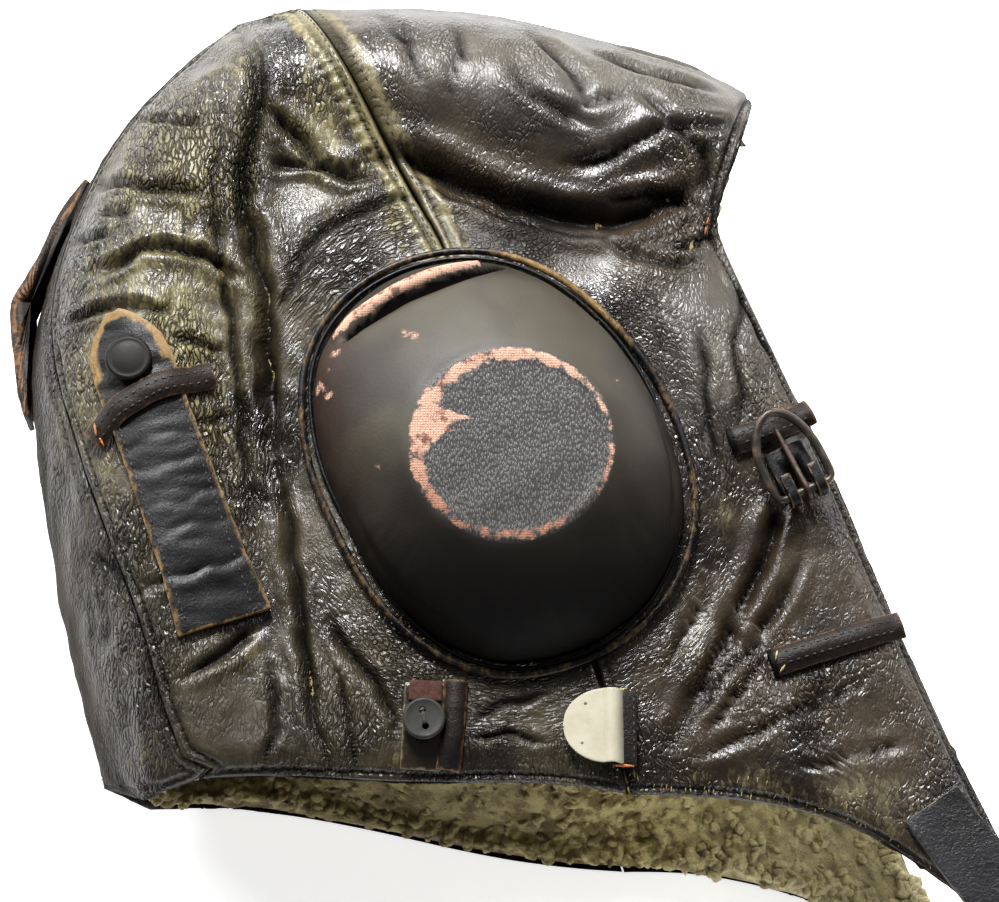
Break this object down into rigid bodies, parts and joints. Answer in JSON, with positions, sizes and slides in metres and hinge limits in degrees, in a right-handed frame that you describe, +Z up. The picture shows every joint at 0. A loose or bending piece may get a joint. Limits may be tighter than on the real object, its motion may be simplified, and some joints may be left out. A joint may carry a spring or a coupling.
{
  "type": "flying helmet",
  "caption": "Soft leather flying helmet with fleece lining, bulged ear cups, goggle straps, hook, buckle and chin strap, lying on its left side.",
  "frame": {"origin": "middle of the left ear cup's flat disc, on the surface that the helmet lies on", "axes": "+X to the face opening, +Y to the crown, +Z up from the surface, out of the wearer's right ear"},
  "size_m": [0.3273, 0.3462, 0.123],
  "materials": {
    "front_leather": "worn semi-gloss",
    "rear_leather": "cracked semi-gloss",
    "strap_leather": "worn satin",
    "cup_leathercloth": "smooth gloss",
    "fleece": "curly wool",
    "cream_paint": "chipped gloss",
    "worn_enamel": "satin",
    "copper_wire": "dull",
    "cap_metal": "satin",
    "nickel": "tarnished",
    "grey_horn": "matte"
  },
  "bodies": {
    "helmet": {"front_panel": "front_leather", "back_strip": "rear_leather", "rear_panel_right": "rear_leather", "rear_panel_left": "rear_leather", "fleece_lining": "fleece", "ear_cup_right": "cup_leathercloth", "ear_cup_left": "cup_leathercloth", "ear_welt_right": "cup_leathercloth", "ear_welt_left": "cup_leathercloth", "goggle_strap": "strap_leather", "strap_keeper": "strap_leather", "snap_cap": "cap_metal", "upper_loop": "strap_leather", "lower_loop": "strap_leather", "buckle_prong": "copper_wire", "buckle_tab": "strap_leather", "button_patch": "strap_leather", "button": "grey_horn", "cord_loop": "strap_leather", "mask_hook": "cream_paint", "hook_strip": "strap_leather", "back_strap": "strap_leather", "back_strap_stud": "nickel", "chin_strap_right": "strap_leather", "chin_strap_left": "strap_leather", "chin_press_stud": "cap_metal"},
    "buckle": {"buckle_frame": "worn_enamel"}
  },
  "joints": [
    {"name": "buckle_frame_hinge", "type": "hinge", "parent": "helmet", "child": "buckle", "pos_m": [0.0839, -0.006, 0.09807], "axis": [0.904, 0.4276, 0], "range_deg": [0, 110]}
  ]
}
